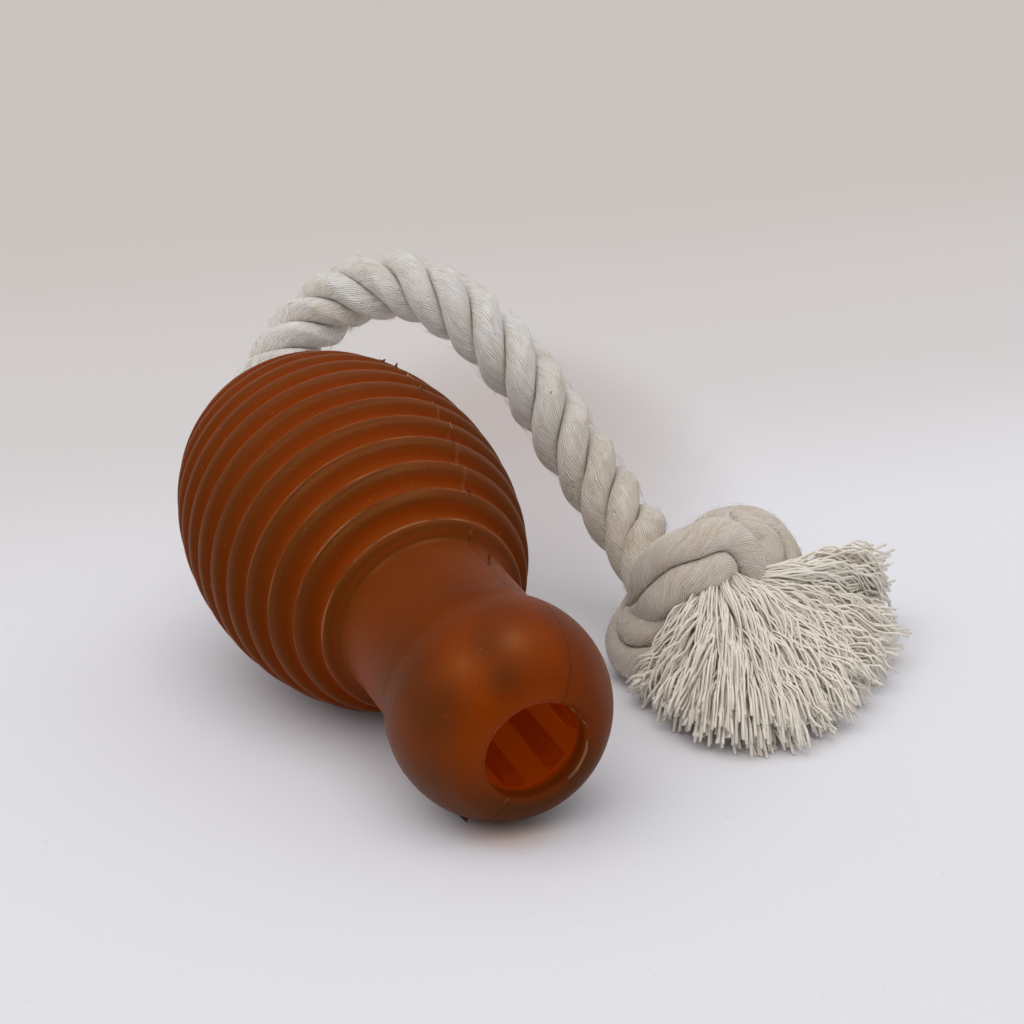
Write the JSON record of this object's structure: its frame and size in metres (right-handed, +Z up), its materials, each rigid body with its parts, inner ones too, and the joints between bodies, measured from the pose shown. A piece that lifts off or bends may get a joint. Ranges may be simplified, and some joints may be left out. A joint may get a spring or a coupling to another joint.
{
  "type": "rubber chew toy",
  "caption": "Hollow ribbed rubber chew toy with a treat mouth in its ball end, and a thick laid cotton rope from its rear that arches to a knot with a frayed tassel.",
  "frame": {"origin": "on the ground, under the middle of the rubber body's box", "axes": "+X along the toy towards its mouth, +Z up; the toy's own axis dips about 10 degrees towards the mouth because the bulb is wider than the ball end it rests on"},
  "size_m": [0.1677, 0.1639, 0.0783],
  "materials": {
    "natural_rubber": "satin, translucent amber",
    "cotton_rope": "matt, three-strand laid",
    "cotton_yarn": "matt, frayed yarns"
  },
  "bodies": {
    "toy_body": {"rubber_body": "natural_rubber"},
    "rope": {"rope_shank": "cotton_rope", "stopper_knot": "cotton_rope", "rope_run": "cotton_rope", "end_knot": "cotton_rope", "tassel": "cotton_yarn"}
  },
  "joints": [
    {"name": "rope_swivel", "type": "hinge", "parent": "toy_body", "child": "rope", "pos_m": [-0.06668, 0, 0.04277], "axis": [-0.9841, 0, 0.1774], "continuous": true}
  ]
}
